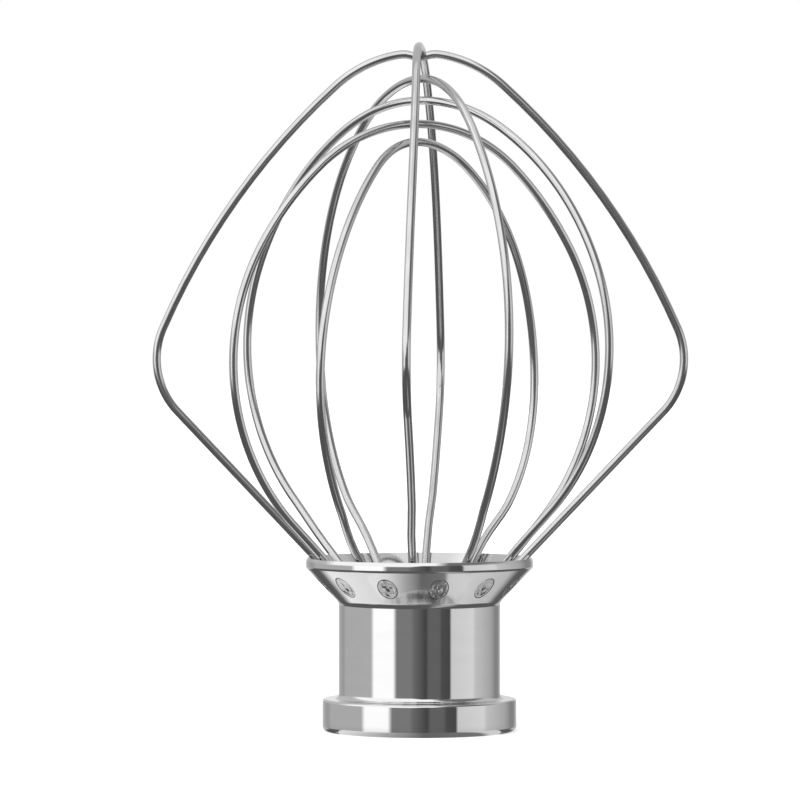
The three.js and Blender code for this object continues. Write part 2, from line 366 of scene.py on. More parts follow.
@dataclass(frozen=True)
class MachinedSteel:
    """Satin steel as the lathe left it, with fine tool rings."""

    name: str = "machined stainless steel"
    dark: float = 0.46
    light: float = 0.58
    roughness: float = 0.24
    ringed: float = 0.14
    ring_scale: float = 5200.0
    ring_height: float = 0.003 * MM
    stain_scale: float = 260.0

    def build(self) -> bpy.types.Material:
        """Mix the finish.

        Returns:
            The material.
        """
        sheet = ShaderSheet(self.name)
        rings = sheet.grain(sheet.turned_point(), self.ring_scale, 2.0)
        stains = sheet.grain(sheet.object_point(), self.stain_scale, 4.0)
        sheet.greys(sheet.ranged(stains, 0.0, 1.0), self.dark, self.light)
        ringed = sheet.ranged(rings, self.roughness, self.roughness + self.ringed)
        sheet.join(ringed, sheet.surface.inputs["Roughness"])
        sheet.relief([(rings, self.ring_height)])
        return sheet.material


@dataclass(frozen=True)
class PinSteel:
    """The pins' heads: pressed and ground flush, uneven, with small pits."""

    name: str = "ground pin steel"
    dark: float = 0.42
    light: float = 0.62
    roughness: float = 0.12
    scuffed: float = 0.14
    scuff_scale: float = 2400.0
    dent_scale: float = 1300.0
    dent_height: float = 0.02 * MM

    def build(self) -> bpy.types.Material:
        """Mix the finish.

        Returns:
            The material.
        """
        sheet = ShaderSheet(self.name)
        point = sheet.object_point()
        scuffs = sheet.grain(point, self.scuff_scale, 4.0)
        dents = sheet.grain(point, self.dent_scale, 2.0)
        sheet.greys(sheet.ranged(dents, 0.0, 1.0), self.dark, self.light)
        scuffed = sheet.ranged(scuffs, self.roughness, self.roughness + self.scuffed)
        sheet.join(scuffed, sheet.surface.inputs["Roughness"])
        sheet.relief([(dents, self.dent_height)])
        return sheet.material


class FinishRack:
    """Each slot's material, made once."""

    def __init__(self) -> None:
        """Build the four finishes."""
        self.materials = {
            Slot.POLISHED: PolishedSteel().build(),
            Slot.WIRE: DrawnWire().build(),
            Slot.MACHINED: MachinedSteel().build(),
            Slot.PIN: PinSteel().build(),
        }


# ---- shared mesh work -----------------------------------------------------------------------------


@dataclass(frozen=True)
class Corner:
    """A corner of a turned outline, in metres. An edge above 0 is its rounding radius."""

    r: float
    z: float
    edge: float = 0.0


def rounded(bm: bmesh.types.BMesh, verts: Sequence[bmesh.types.BMVert], corners: Sequence[Corner]) -> None:
    """Round the corners of an outline.

    Args:
        bm: The mesh that holds the outline.
        verts: The outline's points, one to a corner.
        corners: The corners, in the same order.
    """
    for vert, corner in zip(verts, corners):
        if corner.edge <= 0:
            continue
        ways = [(edge.other_vert(vert).co - vert.co).normalized() for edge in vert.link_edges]
        half = ways[0].angle(ways[1]) / 2
        turn = math.degrees(math.pi - 2 * half)
        bmesh.ops.bevel(bm, geom=[vert], offset=corner.edge / math.tan(half), offset_type="OFFSET",
                        segments=max(ROUND_LEAST, round(turn / ROUND_STEP)), profile=0.5, affect="VERTICES",
                        clamp_overlap=False, material=-1)


def turned(corners: Sequence[Corner], segments: int = 240, step: float = 1.6 * MM) -> bmesh.types.BMesh:
    """Turn an outline about the Z axis.

    Args:
        corners: The outline, up the outside and down the inside. One that starts on the axis is left
            open there, and otherwise it closes on itself.
        segments: Facets all round.
        step: Longest stretch of the outline between two rings.

    Returns:
        The closed mesh.
    """
    bm = bmesh.new()
    verts = [bm.verts.new((corner.r, 0.0, corner.z)) for corner in corners]
    for start, end in zip(verts, verts[1:]):
        bm.edges.new((start, end))
    if corners[0].r > 0:
        bm.edges.new((verts[-1], verts[0]))
    rounded(bm, verts, corners)
    for edge in list(bm.edges):
        cuts = int(edge.calc_length() / step)
        if cuts:
            bmesh.ops.subdivide_edges(bm, edges=[edge], cuts=cuts)
    bmesh.ops.spin(bm, geom=bm.verts[:] + bm.edges[:], cent=(0, 0, 0), axis=(0, 0, 1),
                   angle=math.tau, steps=segments, use_merge=True, use_duplicate=False)
    bmesh.ops.remove_doubles(bm, verts=bm.verts, dist=WELD)
    bmesh.ops.recalc_face_normals(bm, faces=bm.faces)
    return bm


def placed(axis: Vector, side: Vector, origin: Vector) -> Matrix:
    """Make the matrix that stands a piece on a place.

    Args:
        axis: Where the piece's Z points.
        side: Where its X points, square to the axis.
        origin: Where its origin comes.

    Returns:
        The matrix.
    """
    across = axis.cross(side)
    turn = Matrix((side, across, axis)).transposed()
    return Matrix.Translation(origin) @ turn.to_4x4()


def about_z(degrees: float) -> Matrix:
    """Return the matrix of a turn about Z."""
    return Matrix.Rotation(math.radians(degrees), 4, "Z")


def to_object(name: str, bm: bmesh.types.BMesh) -> bpy.types.Object:
    """Make an object of a mesh, and free the mesh.

    Args:
        name: The object's name.
        bm: The mesh.

    Returns:
        The object, at the origin.
    """
    mesh = bpy.data.meshes.new(name)
    bm.to_mesh(mesh)
    bm.free()
    thing = bpy.data.objects.new(name, mesh)
    bpy.context.scene.collection.objects.link(thing)
    return thing


def cut_away(body: bpy.types.Object, cutter: bmesh.types.BMesh) -> None:
    """Take one mesh out of an object for good.

    Args:
        body: The object that is cut.
        cutter: What is taken away. It is freed.
    """
    tool = to_object("cutter", cutter)
    modifier = body.modifiers.new("cut", "BOOLEAN")
    modifier.operation = "DIFFERENCE"
    modifier.solver = "EXACT"
    modifier.object = tool
    seen = body.evaluated_get(bpy.context.evaluated_depsgraph_get())
    cut_mesh = bpy.data.meshes.new_from_object(seen)
    old = body.data
    body.modifiers.clear()
    body.data = cut_mesh
    cut_mesh.name = body.name
    bpy.data.meshes.remove(old)
    tool_mesh = tool.data
    bpy.data.objects.remove(tool)
    bpy.data.meshes.remove(tool_mesh)


def finish_piece(piece: bpy.types.Object, slot: Slot, rack: FinishRack, *nodes: str) -> None:
    """Smooth a piece, give it its finish and fasten it to the frame.

    Args:
        piece: The piece.
        slot: Its material slot.
        rack: The finishes.
        *nodes: The model's nodes that it stands for.
    """
    mesh = piece.data
    mesh.materials.clear()
    mesh.materials.append(rack.materials[slot])
    mesh.shade_smooth()
    mesh.set_sharp_from_angle(angle=SHARP)
    weighted = piece.modifiers.new("even shading", "WEIGHTED_NORMAL")
    weighted.keep_sharp = True
    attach(piece, BODY)
    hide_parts(*nodes)
    low = [min(v.co[i] for v in mesh.vertices) / MM for i in range(3)]
    high = [max(v.co[i] for v in mesh.vertices) / MM for i in range(3)]
    log.info("%s: %d faces, %s to %s mm", piece.name, len(mesh.polygons),
             [round(v, 1) for v in low], [round(v, 1) for v in high])


# ---- hub ------------------------------------------------------------------------------------------


@dataclass(frozen=True)
class HubSizes:
    """The hub's driving dimensions, which the pieces in it are fitted to."""

    clearance: float = 0.3 * MM
    neck_radius: float = 19.4 * MM
    flange_step: float = 3.9 * MM
    flange_height: float = 7.8 * MM
    neck_wall: float = 3.2 * MM
    flare_base: float = 30.9 * MM
    flare: float = math.radians(43.5)
    cup_wall: float = 1.9 * MM
    rim_step: float = 7.9 * MM
    rim_land: float = 2.3 * MM
    wire_radius: float = 1.0 * MM
    wire_ends: int = 12
    cap_thickness: float = 2.0 * MM
    cap_ledge: float = 1.3 * MM

    @property
    def flange_radius(self) -> float:
        """Radius of the flange."""
        return self.neck_radius + self.flange_step

    @property
    def rim_radius(self) -> float:
        """Outer radius of the cup's lip."""
        return self.neck_radius + self.rim_step

    @property
    def flare_top(self) -> float:
        """Height at which the flare turns up into the lip."""
        return self.cone_height(0.0, self.rim_radius)

    @property
    def rim_height(self) -> float:
        """Height of the lip's top."""
        return self.flare_top + self.rim_land

    @property
    def neck_bore(self) -> float:
        """Radius of the bore through the neck."""
        return self.neck_radius - self.neck_wall

    @property
    def cap_seat(self) -> float:
        """Radius of the wider bore that carries the cap plate."""
        return self.neck_bore + self.cap_ledge

    @property
    def clamp_face(self) -> float:
        """Depth of the clamp ring's outer face below the cup's outer face."""
        return self.cup_wall + self.clearance

    @property
    def wire_depth(self) -> float:
        """Depth of the wires' axes below the cup's outer face."""
        return self.clamp_face + self.wire_radius

    @property
    def leg_foot(self) -> float:
        """Height at which a wire's leg ends."""
        return self.flare_base + self.cap_thickness + self.clearance + self.wire_radius

    def cone_radius(self, depth: float, z: float) -> float:
        """Return the radius, at a height, of the cone that lies a depth below the cup's outer face."""
        return self.neck_radius + (z - self.flare_base) * math.tan(self.flare) - depth / math.cos(self.flare)

    def cone_height(self, depth: float, radius: float) -> float:
        """Return the height at which that cone has a radius."""
        rise = radius - self.neck_radius + depth / math.cos(self.flare)
        return self.flare_base + rise / math.tan(self.flare)


@dataclass
class ClampPins:
    """The twelve pins that hold the clamp ring, each a shank under a flush oval head."""

    hub: HubSizes
    head_width: float = 4.8 * MM
    head_length: float = 6.6 * MM
    floor: float = 0.6 * MM
    shank: float = 1.6 * MM
    grip: float = 1.4 * MM
    gap: float = 0.05 * MM
    edge: float = 0.22 * MM
    land: float = 0.55 * MM
    land_start: float = 0.05 * MM
    land_end: float = 0.02 * MM
    slope: float = 0.5 * MM
    slope_edge: float = 0.3 * MM
    dish: float = 0.12 * MM
    pit_radius: float = 0.6 * MM
    pit_depth: float = 0.30 * MM
    pit_edge: float = 0.25 * MM
    wander: tuple[float, float] = (0.6 * MM, 0.5 * MM)
    unevenness: float = 0.14 * MM
    lump_size: float = 1.3 * MM
    lump_middle: float = 0.25
    segments: int = 56
    outline_step: float = 0.25 * MM
    seed: int = 12
    seed_span: float = 50.0

    @property
    def height(self) -> float:
        """Height of the pins' centres, half way up the flare."""
        return (self.hub.flare_base + self.hub.flare_top) / 2

    @property
    def head_end(self) -> float:
        """Depth of the head's underside below the cup's outer face."""
        return self.hub.cup_wall - self.floor - self.hub.clearance

    @property
    def reach(self) -> float:
        """How far a pin goes in from the cup's outer face."""
        return self.hub.clamp_face + self.grip

    def stand(self) -> Matrix:
        """Find a pin's place on the cup at +X, its Z outwards and its X up the slope.

        Returns:
            The matrix that stands it there.
        """
        flare = self.hub.flare
        outward = Vector((math.cos(flare), 0.0, -math.sin(flare)))
        upward = Vector((math.sin(flare), 0.0, math.cos(flare)))
        face = Vector((self.hub.cone_radius(0.0, self.height), 0.0, self.height))
        return placed(outward, upward, face)

    def turns(self) -> list[float]:
        """Return the pins' turns about Z, in degrees."""
        pitch = 360 / self.hub.wire_ends
        return [pitch * (i + 0.5) for i in range(self.hub.wire_ends)]

    def plugs(self, length: float, width: float, depth: float) -> bmesh.types.BMesh:
        """Make the cutter for one hole at each pin.

        Args:
            length: The hole's size up the flare.
            width: Its size round the cup.
            depth: How deep it goes.

        Returns:
            The mesh of twelve plugs.
        """
        bm = bmesh.new()
        above = 1.0 * MM
        stretch = Matrix.Diagonal((length / 2 + self.gap, width / 2 + self.gap, 1.0, 1.0))
        drop = Matrix.Translation((0.0, 0.0, (above - depth) / 2))
        for turn in self.turns():
            bmesh.ops.create_cone(bm, cap_ends=True, segments=self.segments, radius1=1.0, radius2=1.0,
                                  depth=depth + above, matrix=about_z(turn) @ self.stand() @ drop @ stretch)
        return bm

    def pockets(self) -> bmesh.types.BMesh:
        """Return the cutter for the heads' pockets."""
        return self.plugs(self.head_length, self.head_width, self.head_end + self.gap)

    def bores(self) -> bmesh.types.BMesh:
        """Return the cutter for the shanks' holes."""
        return self.plugs(2 * self.shank, 2 * self.shank, self.reach + self.gap)

    def head(self, draw: random.Random) -> bmesh.types.BMesh:
        """Make one pin in its own space, its face at 0 and its Z outwards.

        Args:
            draw: The source of the small differences between pins.

        Returns:
            The mesh.
        """
        radius = self.head_width / 2
        inner = radius - self.land
        bm = turned([
            Corner(0.0, -self.reach),
            Corner(self.shank, -self.reach, self.edge),
            Corner(self.shank, -self.head_end),
            Corner(radius, -self.head_end),
            Corner(radius, -self.land_start, self.edge),
            Corner(inner, -self.land_end, self.slope_edge),
            Corner(inner - self.slope, -self.dish, self.slope_edge),
            Corner(self.pit_radius, -self.dish, self.pit_edge),
            Corner(0.0, -self.dish - self.pit_depth),
        ], self.segments, self.outline_step)
        shift = Vector([draw.uniform(-most, most) for most in self.wander] + [0.0])
        seed = Vector([draw.uniform(0, self.seed_span) for _ in range(3)])
        curve = 2 * self.hub.cone_radius(0.0, self.height) / math.cos(self.hub.flare)
        for vert in bm.verts:
            if vert.co.z < -self.head_end / 2:
                continue
            rim = min(1.0, vert.co.xy.length / radius)
            vert.co += shift * (1 - rim * rim)
            lump = noise.fractal(vert.co / self.lump_size + seed, 1.0, 2.0, 3)
            vert.co.z += (lump - self.lump_middle) * self.unevenness * (1 - rim ** 5)
        wide = [vert for vert in bm.verts if vert.co.xy.length > self.shank * (1 + HAIR)
                or vert.co.z > -self.head_end * (1 - HAIR)]
        bmesh.ops.scale(bm, vec=(self.head_length / self.head_width, 1.0, 1.0), verts=wide)
        for vert in wide:
            vert.co.z -= vert.co.y ** 2 / curve
        return bm

    def build(self, rack: FinishRack) -> None:
        """Make the twelve pins.

        Args:
            rack: The finishes.
        """
        draw = random.Random(self.seed)
        for number, turn in enumerate(self.turns(), start=1):
            bm = self.head(draw)
            bm.transform(about_z(turn) @ self.stand())
            pin = to_object(f"pin_{number:02d}", bm)
            finish_piece(pin, Slot.PIN, rack, f"clamp_pin_{number:02d}")


@dataclass
class HubShell:
    """The turned shell: flange, neck and flared cup with a rounded lip."""

    hub: HubSizes
    pins: ClampPins
    small_edge: float = 0.4 * MM
    flange_top_edge: float = 0.7 * MM
    flange_bottom_edge: float = 1.3 * MM
    neck_cove: float = 1.4 * MM
    flare_fillet: float = 1.8 * MM
    lip_bottom_edge: float = 0.9 * MM
    lip_shoulder_drop: float = 0.85 * MM
    lip_shoulder_edge: float = 1.6 * MM
    lip_lean: float = 0.27 * MM
    lip_edge: float = 0.1 * MM

    def build(self, rack: FinishRack) -> None:
        """Make the shell.

        Args:
            rack: The finishes.
        """
        hub = self.hub
        ledge = hub.flare_base - hub.clearance
        shell = to_object("shell", turned([
            Corner(hub.neck_bore, 0.0, self.small_edge),
            Corner(hub.flange_radius, 0.0, self.flange_bottom_edge),
            Corner(hub.flange_radius, hub.flange_height, self.flange_top_edge),
            Corner(hub.neck_radius, hub.flange_height, self.neck_cove),
            Corner(hub.neck_radius, hub.flare_base, self.flare_fillet),
            Corner(hub.rim_radius, hub.flare_top, self.lip_bottom_edge),
            Corner(hub.rim_radius, hub.rim_height - self.lip_shoulder_drop, self.lip_shoulder_edge),
            Corner(hub.rim_radius - self.lip_lean, hub.rim_height, self.lip_edge),
            Corner(hub.cone_radius(hub.cup_wall, hub.rim_height), hub.rim_height, self.lip_edge / 2),
            Corner(hub.cap_seat, hub.cone_height(hub.cup_wall, hub.cap_seat), self.small_edge),
            Corner(hub.cap_seat, ledge),
            Corner(hub.neck_bore, ledge, self.small_edge / 2),
        ]))
        cut_away(shell, self.pins.pockets())
        cut_away(shell, self.pins.bores())
        finish_piece(shell, Slot.POLISHED, rack, "hub_shell")


@dataclass
class ClampRing:
    """The conical ring that holds the wires' ends against the cup."""

    hub: HubSizes
    pins: ClampPins
    thickness: float = 3.3 * MM
    drop: float = 3.1 * MM
    edge: float = 0.5 * MM
    seat_gap: float = 0.04 * MM
    groove_gap: float = 0.06 * MM
    groove_length: float = 16 * MM
    groove_segments: int = 32

    @property
    def top(self) -> float:
        """Height of the ring's top."""
        return self.hub.rim_height - self.drop

    def grooves(self) -> bmesh.types.BMesh:
        """Make the cutter for the wires' grooves.

        Returns:
            The mesh of twelve rods.
        """
        bm = bmesh.new()
        flare = self.hub.flare
        along = Vector((math.sin(flare), 0.0, math.cos(flare)))
        outward = Vector((math.cos(flare), 0.0, -math.sin(flare)))
        middle = (self.hub.leg_foot + self.top) / 2
        centre = Vector((self.hub.cone_radius(self.hub.wire_depth, middle), 0.0, middle))
        radius = self.hub.wire_radius + self.groove_gap
        for i in range(self.hub.wire_ends):
            turn = about_z(360 * i / self.hub.wire_ends)
            bmesh.ops.create_cone(bm, cap_ends=True, segments=self.groove_segments, radius1=radius,
                                  radius2=radius, depth=self.groove_length,
                                  matrix=turn @ placed(along, outward, centre))
        return bm

    def build(self, rack: FinishRack) -> None:
        """Make the ring.

        Args:
            rack: The finishes.
        """
        hub = self.hub
        bottom = hub.flare_base + hub.cap_thickness + hub.clearance
        outer = hub.cup_wall + self.seat_gap
        inner = hub.clamp_face + self.thickness
        ring = to_object("clamp", turned([
            Corner(hub.cone_radius(inner, bottom), bottom, self.edge / 2),
            Corner(hub.cone_radius(outer, bottom), bottom, self.edge / 2),
            Corner(hub.cone_radius(outer, self.top), self.top, self.edge / 2),
            Corner(hub.cone_radius(inner, self.top), self.top, self.edge),
        ]))
        cut_away(ring, self.grooves())
        cut_away(ring, self.pins.bores())
        finish_piece(ring, Slot.MACHINED, rack, "clamp_ring")


@dataclass
class NeckPieces:
    """What closes the neck: the cap plate, the drive socket and the base ring."""

    hub: HubSizes
    bore_radius: float = 6.5 * MM
    socket_wall: float = 3.0 * MM
    inset: float = 0.6 * MM
    slot_width: float = 5.0 * MM
    slot_depth: float = 15.0 * MM
    slot_turn: float = 50.0
    slot_turn_steps: int = 10
    slot_inside: float = 2.0 * MM
    slot_end_segments: int = 40
    mouth_width: float = 0.6 * MM
    mouth_height: float = 0.8 * MM
    ring_thickness: float = 3.4 * MM
    groove_half: float = 1.2 * MM
    groove_depth: float = 0.5 * MM
    dish_border: float = 2.5 * MM
    dish_slope: float = 1.5 * MM
    dish_depth: float = 0.4 * MM
    edge: float = 0.5 * MM
    fit: float = 0.05 * MM
    segments: int = 160
    socket_step: float = 1.2 * MM

    @property
    def socket_radius(self) -> float:
        """Outer radius of the drive socket."""
        return self.bore_radius + self.socket_wall

    def cap_plate(self, rack: FinishRack) -> None:
        """Make the plate, with a shallow dish in its top.

        Args:
            rack: The finishes.
        """
        hub = self.hub
        radius = hub.cap_seat - self.fit
        top = hub.flare_base + hub.cap_thickness
        border = radius - self.dish_border
        plate = to_object("cap", turned([
            Corner(0.0, hub.flare_base),
            Corner(radius, hub.flare_base, self.edge / 2),
            Corner(radius, top, self.edge),
            Corner(border, top, self.edge),
            Corner(border - self.dish_slope, top - self.dish_depth, self.edge),
            Corner(0.0, top - self.dish_depth),
        ]))
        finish_piece(plate, Slot.MACHINED, rack, "cap_plate")

    def slot_cutter(self) -> bmesh.types.BMesh:
        """Make the cutter for the bayonet slot's way in.

        Returns:
            The mesh of a block.
        """
        bm = bmesh.new()
        reach = 2 * self.socket_radius
        entry = Matrix.Translation((reach / 2, 0.0, 0.0)) @ Matrix.Diagonal(
            (reach, self.slot_width, 2 * self.slot_depth, 1.0))
        bmesh.ops.create_cube(bm, size=1.0, matrix=entry)
        return bm

    def turn_cutter(self) -> bmesh.types.BMesh:
        """Make the cutter that carries the slot round.

        Returns:
            The mesh of a wedge.
        """
        bm = bmesh.new()
        near, far = self.slot_inside, 2 * self.socket_radius
        low, high = self.slot_depth - self.slot_width, self.slot_depth
        verts = [bm.verts.new(p) for p in ((near, 0, low), (far, 0, low), (far, 0, high), (near, 0, high))]
        bm.faces.new(verts)
        bmesh.ops.spin(bm, geom=bm.verts[:] + bm.edges[:] + bm.faces[:], cent=(0, 0, 0), axis=(0, 0, 1),
                       angle=math.radians(self.slot_turn), steps=self.slot_turn_steps, use_duplicate=False)
        bmesh.ops.recalc_face_normals(bm, faces=bm.faces)
        return bm

    def end_cutter(self) -> bmesh.types.BMesh:
        """Make the cutter that rounds the slot's far end.

        Returns:
            The mesh of a drill.
        """
        bm = bmesh.new()
        turn = math.radians(self.slot_turn)
        outward = Vector((math.cos(turn), math.sin(turn), 0.0))
        middle = self.slot_depth - self.slot_width / 2
        centre = outward * self.socket_radius + Vector((0.0, 0.0, middle))
        bmesh.ops.create_cone(bm, cap_ends=True, segments=self.slot_end_segments,
                              radius1=self.slot_width / 2, radius2=self.slot_width / 2,
                              depth=2 * self.socket_wall + self.bore_radius,
                              matrix=placed(outward, Vector((0.0, 0.0, 1.0)), centre))
        return bm

    def drive_socket(self, rack: FinishRack) -> None:
        """Make the socket with its bayonet slot and a lead-in at its mouth.

        Args:
            rack: The finishes.
        """
        top = self.hub.flare_base - self.fit
        socket = to_object("socket", turned([
            Corner(self.bore_radius + self.mouth_width, self.inset, self.edge / 3),
            Corner(self.socket_radius, self.inset, self.edge),
            Corner(self.socket_radius, top, self.edge / 2),
            Corner(self.bore_radius, top, self.edge / 2),
            Corner(self.bore_radius, self.inset + self.mouth_height, self.edge / 3),
        ], self.segments, self.socket_step))
        cut_away(socket, self.slot_cutter())
        cut_away(socket, self.turn_cutter())
        cut_away(socket, self.end_cutter())
        finish_piece(socket, Slot.MACHINED, rack, "drive_socket")

    def base_ring(self, rack: FinishRack) -> None:
        """Make the ring, with a shallow groove turned in its lower face.

        Args:
            rack: The finishes.
        """
        inner = self.socket_radius + self.fit
        outer = self.hub.neck_bore - self.fit
        low, top = self.inset, self.inset + self.ring_thickness
        middle, half, roof = (inner + outer) / 2, self.groove_half, low + self.groove_depth
        ring = to_object("base", turned([
            Corner(inner, low, self.edge / 2),
            Corner(middle - half, low, self.edge / 3),
            Corner(middle - half, roof, self.edge / 3),
            Corner(middle + half, roof, self.edge / 3),
            Corner(middle + half, low, self.edge / 3),
            Corner(outer, low, self.edge / 2),
            Corner(outer, top, self.edge / 2),
            Corner(inner, top, self.edge / 2),
        ], self.segments))
        finish_piece(ring, Slot.MACHINED, rack, "base_ring")

    def build(self, rack: FinishRack) -> None:
        """Make the three pieces.

        Args:
            rack: The finishes.
        """
        self.cap_plate(rack)
        self.drive_socket(rack)
        self.base_ring(rack)


# ---- wire loops -----------------------------------------------------------------------------------


@dataclass(frozen=True)
class LoopShape:
    """One loop in its plane, in millimetres: its turn about Z, its rise from the flare's foot, its
    spread beyond the neck, its three bends and its sideways bow. A loop that another crosses stands a
    little higher, by its lift, and its crown is pressed down by its dip.
    """

    node: str
    turn: float
    rise: float
    spread: float
    shoulder: float
    side: float
    crown: float
    sway: float
    lift: float = 0.0
    dip: float = 0.0


LOOPS = (
    LoopShape("wire_loop_outer_top", 90, 133.1, 43.9, 18.2, 170, 28, -1.2),
    LoopShape("wire_loop_outer", 0, 130.8, 43.9, 18.2, 170, 30, 0.0, 0.7, 1.1),
    LoopShape("wire_loop_second", 120, 125.3, 30.8, 60, 66, 44, 2.3),
    LoopShape("wire_loop_third", 150, 120.1, 32.8, 55, 68, 41, -2.0),
    LoopShape("wire_loop_fourth", 30, 114.5, 29.0, 56, 79, 38, 1.0),
    LoopShape("wire_loop_inner", 60, 110.2, 26.8, 50, 63, 34, -3.2),
)


@dataclass(frozen=True)
class Arc:
    """One bend of a loop: its centre, its radius and its first and last angle from +X towards +Z."""

    centre: Vector
    radius: float
    first: float
    last: float


@dataclass
class WireLoop:
    """A round wire bent into a loop, with both ends in the cup."""

    hub: HubSizes
    shape: LoopShape
    sides: int = 20
    bend_step: float = math.radians(2.0)
    leg_steps: int = 6
    sway_start: float = 0.12
    dip_width: float = 2.4 * MM
    end_edge: float = 0.15 * MM
    seam: float = 0.002 * MM

    @property
    def apex(self) -> float:
        """Height of the wire's axis at the crown."""
        return self.hub.flare_base + self.shape.rise * MM

    def foot(self) -> Vector:
        """Return the point where the leg's axis ends, in the cup."""
        z = self.hub.leg_foot
        return Vector((self.hub.cone_radius(self.hub.wire_depth, z), 0.0, z))

    def arcs(self) -> list[Arc]:
        """Work out the three bends, each of which runs into the next.

        Returns:
            The shoulder, the side and the crown.
        """
        shape, flare, foot = self.shape, self.hub.flare, self.foot()
        reach = self.hub.neck_radius + shape.spread * MM
        shoulder, side, crown = shape.shoulder * MM, shape.side * MM, shape.crown * MM
        in_from_reach = reach - shoulder
        lift = (shoulder + (in_from_reach - foot.x) * math.cos(flare)) / math.sin(flare)
        shoulder_centre = Vector((in_from_reach, 0.0, foot.z + lift))
        crown_centre = Vector((0.0, 0.0, self.apex - crown))
        span = crown_centre - shoulder_centre
        to_shoulder, to_crown = side - shoulder, side - crown
        along = (span.length_squared + to_shoulder ** 2 - to_crown ** 2) / (2 * span.length)
        across = math.sqrt(max(0.0, to_shoulder ** 2 - along ** 2))
        unit = span.normalized()
        side_centre = shoulder_centre + unit * along + Vector((-unit.z, 0.0, unit.x)) * across

        def seen_from_side(centre: Vector) -> float:
            """Return a centre's angle about the side's centre."""
            way = centre - side_centre
            return math.atan2(way.z, way.x)

        first, second = seen_from_side(shoulder_centre), seen_from_side(crown_centre)
        return [
            Arc(shoulder_centre, shoulder, -flare, first),
            Arc(side_centre, side, first, second),
            Arc(crown_centre, crown, second, math.pi / 2),
        ]

    def bow(self, z: float) -> float:
        """Work out how far the wire stands out of its plane.

        Args:
            z: The height, in metres.

        Returns:
            The distance, in metres.
        """
        start = self.hub.rim_height
        share = min(1.0, max(0.0, (z - start) / (self.apex - start)))
        ease = min(1.0, share / self.sway_start)
        return self.shape.sway * MM * (1 - (2 * share - 1) ** 4) * ease * ease * (3 - 2 * ease)

    def mark(self, verts: Sequence[bmesh.types.BMVert], layer: bmesh.types.BMLayerItem,
             arc: Arc, travelled: float) -> None:
        """Note each point's place in the wire, and bow it out of its plane.

        Args:
            verts: The points of one bend.
            layer: Where their places are kept.
            arc: The bend.
            travelled: Length of wire before it.
        """
        for vert in verts:
            way = vert.co - arc.centre
            angle = math.atan2(way.z, way.x)
            reach = math.hypot(way.x, way.z)
            along = travelled + arc.radius * (angle - arc.first)
            vert[layer] = Vector((reach - arc.radius, vert.co.y, along))
            vert.co.y += self.bow(arc.centre.z + arc.radius * math.sin(angle))

    def build(self, rack: FinishRack) -> None:
        """Make the loop: half of it along its leg and bends, and the other half mirrored.

        Args:
            rack: The finishes.
        """
        bm = bmesh.new()
        layer = bm.verts.layers.float_vector.new(WIRE_FRAME)
        flare, foot, arcs = self.hub.flare, self.foot(), self.arcs()
        along = Vector((math.sin(flare), 0.0, math.cos(flare)))
        outward = Vector((math.cos(flare), 0.0, -math.sin(flare)))
        bmesh.ops.create_circle(bm, cap_ends=True, segments=self.sides, radius=self.hub.wire_radius,
                                matrix=placed(along, outward, foot))
        start = arcs[0].centre + outward * arcs[0].radius
        leg = (start - foot).length
        ring = list(bm.edges)
        for _ in range(self.leg_steps):
            grown = bmesh.ops.extrude_edge_only(bm, edges=ring)["geom"]
            ring = [item for item in grown if isinstance(item, bmesh.types.BMEdge)
                    and len(item.link_faces) == 1]
            tip = [item for item in grown if isinstance(item, bmesh.types.BMVert)]
            bmesh.ops.translate(bm, vec=along * (leg / self.leg_steps), verts=tip)
        for vert in bm.verts:
            way = vert.co - foot
            vert[layer] = Vector((way.dot(outward), vert.co.y, way.dot(along)))
        straight = [(vert, foot.z + vert[layer].z * math.cos(flare)) for vert in bm.verts]
        last: list[bmesh.types.BMVert | bmesh.types.BMEdge] = ring + tip
        travelled = leg
        bends = []
        for arc in arcs:
            before = len(bm.verts)
            sweep = arc.last - arc.first
            last = bmesh.ops.spin(bm, geom=last, cent=arc.centre, axis=(0, -1, 0), angle=sweep,
                                  steps=max(4, round(sweep / self.bend_step)),
                                  use_merge=False, use_duplicate=False)["geom_last"]
            bends.append((list(bm.verts)[before:], arc, travelled))
            travelled += arc.radius * sweep
        for vert, height in straight:
            vert.co.y += self.bow(height)
        for verts, arc, start_length in bends:
            self.mark(verts, layer, arc, start_length)
        bmesh.ops.mirror(bm, geom=bm.verts[:] + bm.edges[:] + bm.faces[:], matrix=Matrix.Identity(4),
                         merge_dist=self.seam, axis="X")
        bmesh.ops.remove_doubles(bm, verts=bm.verts, dist=WELD)
        if self.shape.dip:
            waist = 2 * self.hub.rim_height
            for vert in bm.verts:
                share = max(0.0, (vert.co.z - waist) / (self.apex - waist))
                press = self.shape.dip * math.exp(-(vert.co.x / self.dip_width) ** 2)
                vert.co.z += (self.shape.lift - press) * MM * share
        ends = [edge for face in bm.faces if len(face.verts) == self.sides for edge in face.edges]
        bmesh.ops.bevel(bm, geom=ends, offset=self.end_edge, offset_type="OFFSET", segments=2,
                        profile=0.5, affect="EDGES", clamp_overlap=True, material=-1)
        bmesh.ops.recalc_face_normals(bm, faces=bm.faces)
        bm.transform(about_z(self.shape.turn))
        loop = to_object(self.shape.node.replace("wire_loop_", "loop_"), bm)
        finish_piece(loop, Slot.WIRE, rack, self.shape.node)


# ---- studio ---------------------------------------------------------------------------------------


@dataclass(frozen=True)
class Panel:
    """A stretch of what the metal mirrors, with the screen grey at which the metal shows each end."""

    start: float
    end: float
    start_grey: float
    end_grey: float


@dataclass(frozen=True)
class Span:
    """The stretch of a value over which one part of the room gives way to the next."""

    start: float
    end: float


def linear(grey: float) -> float:
    """Return a screen grey's linear light."""
    return grey / 12.92 if grey <= 0.04045 else ((grey + 0.055) / 1.055) ** 2.4


